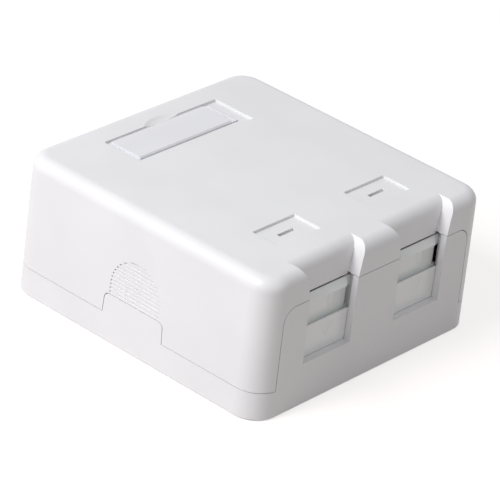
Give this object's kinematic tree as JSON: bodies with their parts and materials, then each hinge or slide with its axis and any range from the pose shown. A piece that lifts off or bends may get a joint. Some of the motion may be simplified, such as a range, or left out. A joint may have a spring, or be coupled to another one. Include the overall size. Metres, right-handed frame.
{
  "type": "surface mount jack box",
  "caption": "Surface mount jack box with sprung sliding dust shutters, lift-off cover, label window, icon seats and side knock-outs, screwed to a wall through its base.",
  "frame": {"origin": "centre of the base's underside, on the wall face", "axes": "+Z out of the wall, -Y the way the ports face, +X to the right for someone who faces the ports"},
  "size_m": [0.065, 0.067, 0.0305],
  "materials": {
    "housing_white": "satin moulded",
    "shutter_white": "satin moulded",
    "window_clear": "clear polished",
    "label_paper": "matte",
    "screw_steel": "zinc plated",
    "spring_steel": "drawn wire",
    "jack_white": "satin moulded",
    "contact_gold": "gold plated",
    "board_green": "solder resist",
    "idc_ivory": "moulded",
    "blade_tin": "tin plated",
    "cap_grey": "moulded"
  },
  "bodies": {
    "base": {"base": "housing_white", "shutter_spring_left": "spring_steel", "jack_housing_left": "jack_white", "jack_contacts_left": "contact_gold", "circuit_board_left": "board_green", "idc_block_left": "idc_ivory", "idc_contacts_left": "blade_tin", "idc_cap_left": "cap_grey", "shutter_spring_right": "spring_steel", "jack_housing_right": "jack_white", "jack_contacts_right": "contact_gold", "circuit_board_right": "board_green", "idc_block_right": "idc_ivory", "idc_contacts_right": "blade_tin", "idc_cap_right": "cap_grey"},
    "cover": {"cover": "housing_white", "cover_screw": "screw_steel", "label_card": "label_paper", "label_window": "window_clear"},
    "shutter_upper_left": {"shutter_upper_left": "shutter_white"},
    "shutter_lower_left": {"shutter_lower_left": "shutter_white"},
    "shutter_upper_right": {"shutter_upper_right": "shutter_white"},
    "shutter_lower_right": {"shutter_lower_right": "shutter_white"}
  },
  "joints": [
    {"name": "cover_lift", "type": "slide", "parent": "base", "child": "cover", "axis": [0, 0, 1], "range_m": [0, 0.045]},
    {"name": "shutter_upper_left_slide", "type": "slide", "parent": "base", "child": "shutter_upper_left", "axis": [0, 0, -1], "range_m": [0, 0.0111], "stiffness_N_per_m": 30, "springref_m": -0.004, "deforming": ["shutter_spring_left"]},
    {"name": "shutter_lower_left_slide", "type": "slide", "parent": "base", "child": "shutter_lower_left", "axis": [0, 0, -1], "range_m": [0, 0.0069]},
    {"name": "shutter_upper_right_slide", "type": "slide", "parent": "base", "child": "shutter_upper_right", "axis": [0, 0, -1], "range_m": [0, 0.0111], "stiffness_N_per_m": 30, "springref_m": -0.004, "deforming": ["shutter_spring_right"]},
    {"name": "shutter_lower_right_slide", "type": "slide", "parent": "base", "child": "shutter_lower_right", "axis": [0, 0, -1], "range_m": [0, 0.0069]}
  ],
  "couplings": [
    {"joint": "shutter_lower_left_slide", "follows": "shutter_upper_left_slide", "ratio": 0.6216},
    {"joint": "shutter_lower_right_slide", "follows": "shutter_upper_right_slide", "ratio": 0.6216}
  ]
}
